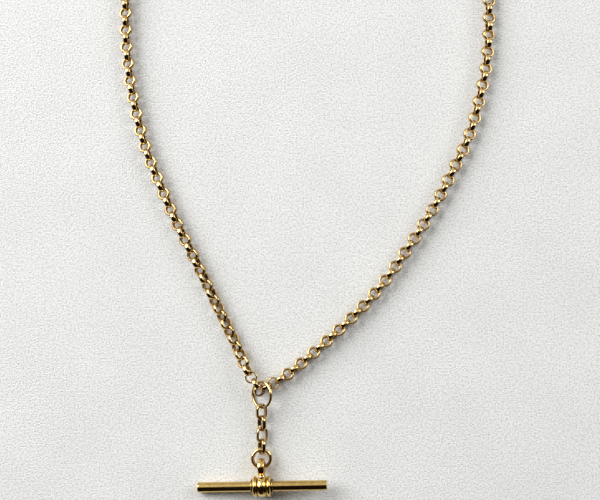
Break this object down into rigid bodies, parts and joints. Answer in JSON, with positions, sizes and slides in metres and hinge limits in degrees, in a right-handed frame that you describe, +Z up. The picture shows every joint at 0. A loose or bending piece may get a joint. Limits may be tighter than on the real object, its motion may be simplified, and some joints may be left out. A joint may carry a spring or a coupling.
{
  "type": "pocket watch chain",
  "caption": "Gold belcher-link pocket watch chain laid open in a V, with a T-bar on a short drop, a threaded ring, and a swivel clip and end ring at its two ends.",
  "frame": {"origin": "on the table under the middle of the laid-out chain", "axes": "+Y from the T-bar up the two strands, +X to the right as seen from above, +Z up from the table"},
  "size_m": [0.0872, 0.2154, 0.0052],
  "materials": {
    "chain_gold": "polished",
    "bar_gold": "polished",
    "ring_gold": "polished",
    "spring_steel": "satin"
  },
  "bodies": {
    "centre_link": {"centre_link": "chain_gold"},
    "threaded_ring": {"threaded_ring": "ring_gold"},
    "link_left_1": {"link_left_1": "chain_gold"},
    "link_left_2": {"link_left_2": "chain_gold"},
    "chain_left_01": {"chain_left_01": "chain_gold"},
    "chain_left_02": {"chain_left_02": "chain_gold"},
    "chain_left_03": {"chain_left_03": "chain_gold"},
    "chain_left_04": {"chain_left_04": "chain_gold"},
    "chain_left_05": {"chain_left_05": "chain_gold"},
    "chain_left_06": {"chain_left_06": "chain_gold"},
    "chain_left_07": {"chain_left_07": "chain_gold"},
    "chain_left_08": {"chain_left_08": "chain_gold"},
    "chain_left_09": {"chain_left_09": "chain_gold"},
    "chain_left_10": {"chain_left_10": "chain_gold"},
    "chain_left_11": {"chain_left_11": "chain_gold"},
    "chain_left_12": {"chain_left_12": "chain_gold"},
    "chain_left_13": {"chain_left_13": "chain_gold"},
    "chain_left_14": {"chain_left_14": "chain_gold"},
    "chain_left_15": {"chain_left_15": "chain_gold"},
    "chain_left_16": {"chain_left_16": "chain_gold"},
    "chain_left_17": {"chain_left_17": "chain_gold"},
    "link_right_1": {"link_right_1": "chain_gold"},
    "link_right_2": {"link_right_2": "chain_gold"},
    "chain_right_01": {"chain_right_01": "chain_gold"},
    "chain_right_02": {"chain_right_02": "chain_gold"},
    "chain_right_03": {"chain_right_03": "chain_gold"},
    "chain_right_04": {"chain_right_04": "chain_gold"},
    "chain_right_05": {"chain_right_05": "chain_gold"},
    "chain_right_06": {"chain_right_06": "chain_gold"},
    "chain_right_07": {"chain_right_07": "chain_gold"},
    "chain_right_08": {"chain_right_08": "chain_gold"},
    "chain_right_09": {"chain_right_09": "chain_gold"},
    "chain_right_10": {"chain_right_10": "chain_gold"},
    "chain_right_11": {"chain_right_11": "chain_gold"},
    "chain_right_12": {"chain_right_12": "chain_gold"},
    "chain_right_13": {"chain_right_13": "chain_gold"},
    "chain_right_14": {"chain_right_14": "chain_gold"},
    "chain_right_15": {"chain_right_15": "chain_gold"},
    "chain_right_16": {"chain_right_16": "chain_gold"},
    "chain_right_17": {"chain_right_17": "chain_gold"},
    "drop_link_1": {"drop_link_1": "chain_gold"},
    "drop_link_2": {"drop_link_2": "chain_gold"},
    "drop_link_3": {"drop_link_3": "chain_gold"},
    "drop_link_4": {"drop_link_4": "chain_gold"},
    "jump_ring": {"jump_ring": "ring_gold"},
    "t_bar": {"bar_rod": "bar_gold", "bar_centre_band": "bar_gold", "bar_bead_left": "bar_gold", "bar_bead_right": "bar_gold", "bar_shoulder_left": "bar_gold", "bar_shoulder_right": "bar_gold", "bar_eye": "bar_gold"},
    "clip_eye": {"clip_eye": "ring_gold"},
    "clip": {"clip_body": "chain_gold", "gate_pin": "ring_gold", "gate_spring": "spring_steel"},
    "clip_gate": {"clip_gate": "chain_gold"},
    "end_ring": {"end_ring": "ring_gold"}
  },
  "joints": [
    {"name": "t_bar_swing", "type": "hinge", "parent": "jump_ring", "child": "t_bar", "pos_m": [-0.01058, -0.09894, 0.00174], "axis": [0, 0, 1], "range_deg": [-60, 60]},
    {"name": "ring_swing", "type": "hinge", "parent": "centre_link", "child": "threaded_ring", "pos_m": [-0.01053, -0.082, 0.00235], "axis": [0.8805, -0.1761, -0.4402], "range_deg": [-30, 30]},
    {"name": "drop_swing", "type": "hinge", "parent": "threaded_ring", "child": "drop_link_1", "pos_m": [-0.0105, -0.08412, 0.00238], "axis": [0.6947, 0, -0.7193], "range_deg": [-45, 45]},
    {"name": "drop_fold_1", "type": "hinge", "parent": "drop_link_1", "child": "drop_link_2", "pos_m": [-0.01059, -0.08858, 0.00194], "axis": [-0.5327, 0.1174, -0.8381], "range_deg": [-45, 45]},
    {"name": "drop_fold_2", "type": "hinge", "parent": "drop_link_2", "child": "drop_link_3", "pos_m": [-0.0105, -0.0913, 0.00157], "axis": [-0.8468, -0.0673, 0.5277], "range_deg": [-45, 45]},
    {"name": "drop_fold_3", "type": "hinge", "parent": "drop_link_3", "child": "drop_link_4", "pos_m": [-0.01048, -0.09402, 0.00151], "axis": [0.454, -0.0164, 0.8909], "range_deg": [-45, 45]},
    {"name": "jump_ring_swing", "type": "hinge", "parent": "drop_link_4", "child": "jump_ring", "pos_m": [-0.01052, -0.09672, 0.00154], "axis": [0.8905, -0.0347, -0.4536], "range_deg": [-45, 45]},
    {"name": "gate_open", "type": "hinge", "parent": "clip", "child": "clip_gate", "pos_m": [-0.0131, 0.09525, 0.00147], "axis": [0.024, 0.0465, 0.9986], "range_deg": [0, 22], "stiffness_Nm_per_rad": 0.005, "deforming": ["gate_spring"]},
    {"name": "clip_turn", "type": "hinge", "parent": "clip_eye", "child": "clip", "pos_m": [-0.01807, 0.09062, 0.0018], "axis": [0.4571, 0.8879, -0.0523], "continuous": true},
    {"name": "clip_eye_swing", "type": "hinge", "parent": "chain_left_17", "child": "clip_eye", "pos_m": [-0.01927, 0.08829, 0.00151], "axis": [0.8891, -0.4577, 0], "range_deg": [-60, 60]},
    {"name": "end_ring_swing", "type": "hinge", "parent": "chain_right_17", "child": "end_ring", "pos_m": [0.0193, 0.09136, 0.00151], "axis": [0.8951, 0.4458, 0], "range_deg": [-60, 60]},
    {"name": "left_01_lift", "type": "hinge", "parent": "centre_link", "child": "link_left_1", "pos_m": [-0.01187, -0.08157, 0.00319], "axis": [0.8604, 0.5097, 0], "range_deg": [-45, 45]},
    {"name": "left_02_lift", "type": "hinge", "parent": "link_left_1", "child": "link_left_2", "pos_m": [-0.01187, -0.08157, 0.00319], "axis": [-0.8604, -0.5097, 0], "range_deg": [-45, 45]},
    {"name": "left_03_turn", "type": "hinge", "parent": "link_left_2", "child": "chain_left_01", "pos_m": [-0.01293, -0.07998, 0.00318], "axis": [-0.1277, 0.0304, 0.9914], "range_deg": [-45, 45]},
    {"name": "left_04_lift", "type": "hinge", "parent": "chain_left_01", "child": "chain_left_02", "pos_m": [-0.01712, -0.0713, 0.0016], "axis": [-0.6307, -0.3483, -0.6934], "range_deg": [-45, 45]},
    {"name": "left_05_turn", "type": "hinge", "parent": "chain_left_02", "child": "chain_left_03", "pos_m": [-0.02139, -0.06249, 0.00149], "axis": [-0.6109, -0.3016, 0.732], "range_deg": [-45, 45]},
    {"name": "left_06_lift", "type": "hinge", "parent": "chain_left_03", "child": "chain_left_04", "pos_m": [-0.02561, -0.05365, 0.00157], "axis": [-0.8398, -0.4115, -0.3542], "range_deg": [-45, 45]},
    {"name": "left_07_lift", "type": "hinge", "parent": "chain_left_04", "child": "chain_left_05", "pos_m": [-0.03078, -0.04316, 0.00156], "axis": [0.8918, 0.4126, 0.1855], "range_deg": [-45, 45]},
    {"name": "left_08_lift", "type": "hinge", "parent": "chain_left_05", "child": "chain_left_06", "pos_m": [-0.03391, -0.03592, 0.00155], "axis": [-0.9104, -0.3826, -0.1573], "range_deg": [-45, 45]},
    {"name": "left_09_lift", "type": "hinge", "parent": "chain_left_06", "child": "chain_left_07", "pos_m": [-0.03807, -0.02499, 0.00154], "axis": [0.954, 0.2744, 0.1209], "range_deg": [-45, 45]},
    {"name": "left_10_lift", "type": "hinge", "parent": "chain_left_07", "child": "chain_left_08", "pos_m": [-0.03991, -0.01733, 0.00154], "axis": [-0.9725, -0.2048, -0.1114], "range_deg": [-45, 45]},
    {"name": "left_11_lift", "type": "hinge", "parent": "chain_left_08", "child": "chain_left_09", "pos_m": [-0.04165, -0.00576, 0.00153], "axis": [0.9923, 0.0824, 0.0922], "range_deg": [-45, 45]},
    {"name": "left_12_lift", "type": "hinge", "parent": "chain_left_09", "child": "chain_left_10", "pos_m": [-0.04201, 0.00211, 0.00153], "axis": [-0.9961, -0.013, -0.087], "range_deg": [-45, 45]},
    {"name": "left_13_lift", "type": "hinge", "parent": "chain_left_10", "child": "chain_left_11", "pos_m": [-0.04171, 0.01381, 0.00152], "axis": [0.9964, -0.0609, 0.0591], "range_deg": [-45, 45]},
    {"name": "left_14_lift", "type": "hinge", "parent": "chain_left_11", "child": "chain_left_12", "pos_m": [-0.04105, 0.02167, 0.00151], "axis": [-0.9942, 0.1041, -0.0284], "range_deg": [-45, 45]},
    {"name": "left_15_lift", "type": "hinge", "parent": "chain_left_12", "child": "chain_left_13", "pos_m": [-0.03947, 0.03325, 0.00151], "axis": [0.9857, -0.1686, 0.0001], "range_deg": [-45, 45]},
    {"name": "left_16_lift", "type": "hinge", "parent": "chain_left_13", "child": "chain_left_14", "pos_m": [-0.03794, 0.04099, 0.00151], "axis": [-0.9758, 0.2185, 0], "range_deg": [-45, 45]},
    {"name": "left_17_turn", "type": "hinge", "parent": "chain_left_14", "child": "chain_left_15", "pos_m": [-0.03546, 0.05046, 0.00151], "axis": [0, 0, 1], "range_deg": [-45, 45]},
    {"name": "left_18_lift", "type": "hinge", "parent": "chain_left_15", "child": "chain_left_16", "pos_m": [-0.03091, 0.06342, 0.00151], "axis": [-0.9289, 0.3703, 0], "range_deg": [-45, 45]},
    {"name": "left_19_turn", "type": "hinge", "parent": "chain_left_16", "child": "chain_left_17", "pos_m": [-0.02539, 0.076, 0.00151], "axis": [0, 0, 1], "range_deg": [-45, 45]},
    {"name": "right_01_lift", "type": "hinge", "parent": "centre_link", "child": "link_right_1", "pos_m": [-0.00952, -0.08239, 0.00156], "axis": [0.4357, -0.9001, 0], "range_deg": [-45, 45]},
    {"name": "right_02_lift", "type": "hinge", "parent": "link_right_1", "child": "link_right_2", "pos_m": [-0.00952, -0.08239, 0.00156], "axis": [-0.4357, 0.9001, 0], "range_deg": [-45, 45]},
    {"name": "right_03_lift", "type": "hinge", "parent": "link_right_2", "child": "chain_right_01", "pos_m": [-0.00619, -0.08055, 0.0016], "axis": [0.5271, -0.8404, 0.1256], "range_deg": [-45, 45]},
    {"name": "right_04_lift", "type": "hinge", "parent": "chain_right_01", "child": "chain_right_02", "pos_m": [0.00006, -0.07575, 0.00156], "axis": [-0.6434, 0.7444, -0.1788], "range_deg": [-45, 45]},
    {"name": "right_05_lift", "type": "hinge", "parent": "chain_right_02", "child": "chain_right_03", "pos_m": [0.00874, -0.06791, 0.00156], "axis": [0.6768, -0.7117, 0.1882], "range_deg": [-45, 45]},
    {"name": "right_06_lift", "type": "hinge", "parent": "chain_right_03", "child": "chain_right_04", "pos_m": [0.01428, -0.0623, 0.00155], "axis": [-0.7326, 0.665, -0.1449], "range_deg": [-45, 45]},
    {"name": "right_07_lift", "type": "hinge", "parent": "chain_right_04", "child": "chain_right_05", "pos_m": [0.02141, -0.05304, 0.00153], "axis": [0.8211, -0.564, 0.0878], "range_deg": [-45, 45]},
    {"name": "right_08_lift", "type": "hinge", "parent": "chain_right_05", "child": "chain_right_06", "pos_m": [0.0258, -0.04649, 0.00151], "axis": [-0.8413, 0.5405, -0.0075], "range_deg": [-45, 45]},
    {"name": "right_09_lift", "type": "hinge", "parent": "chain_right_06", "child": "chain_right_07", "pos_m": [0.03166, -0.03636, 0.00151], "axis": [0.8867, -0.4593, -0.0526], "range_deg": [-45, 45]},
    {"name": "right_10_lift", "type": "hinge", "parent": "chain_right_07", "child": "chain_right_08", "pos_m": [0.0352, -0.02931, 0.00152], "axis": [-0.8976, 0.4352, 0.0699], "range_deg": [-45, 45]},
    {"name": "right_11_lift", "type": "hinge", "parent": "chain_right_08", "child": "chain_right_09", "pos_m": [0.03919, -0.01835, 0.00153], "axis": [0.9662, -0.2433, -0.0849], "range_deg": [-45, 45]},
    {"name": "right_12_lift", "type": "hinge", "parent": "chain_right_09", "child": "chain_right_10", "pos_m": [0.04093, -0.01066, 0.00153], "axis": [-0.978, 0.1836, 0.0987], "range_deg": [-45, 45]},
    {"name": "right_13_lift", "type": "hinge", "parent": "chain_right_10", "child": "chain_right_11", "pos_m": [0.04199, 0.00098, 0.00153], "axis": [0.995, -0.0188, -0.0982], "range_deg": [-45, 45]},
    {"name": "right_14_lift", "type": "hinge", "parent": "chain_right_11", "child": "chain_right_12", "pos_m": [0.04185, 0.01281, 0.00151], "axis": [-0.9981, -0.0425, 0.0453], "range_deg": [-45, 45]},
    {"name": "right_15_lift", "type": "hinge", "parent": "chain_right_12", "child": "chain_right_13", "pos_m": [0.04045, 0.02838, 0.00151], "axis": [0.9904, 0.1379, 0], "range_deg": [-45, 45]},
    {"name": "right_16_turn", "type": "hinge", "parent": "chain_right_13", "child": "chain_right_14", "pos_m": [0.03801, 0.0419, 0.00151], "axis": [0, 0, -1], "range_deg": [-45, 45]},
    {"name": "right_17_lift", "type": "hinge", "parent": "chain_right_14", "child": "chain_right_15", "pos_m": [0.03454, 0.05519, 0.00151], "axis": [0.9572, 0.2895, 0], "range_deg": [-45, 45]},
    {"name": "right_18_turn", "type": "hinge", "parent": "chain_right_15", "child": "chain_right_16", "pos_m": [0.03002, 0.06815, 0.00151], "axis": [0, 0, -1], "range_deg": [-45, 45]},
    {"name": "right_19_lift", "type": "hinge", "parent": "chain_right_16", "child": "chain_right_17", "pos_m": [0.0245, 0.08073, 0.00151], "axis": [0.904, 0.4276, 0], "range_deg": [-45, 45]}
  ]
}
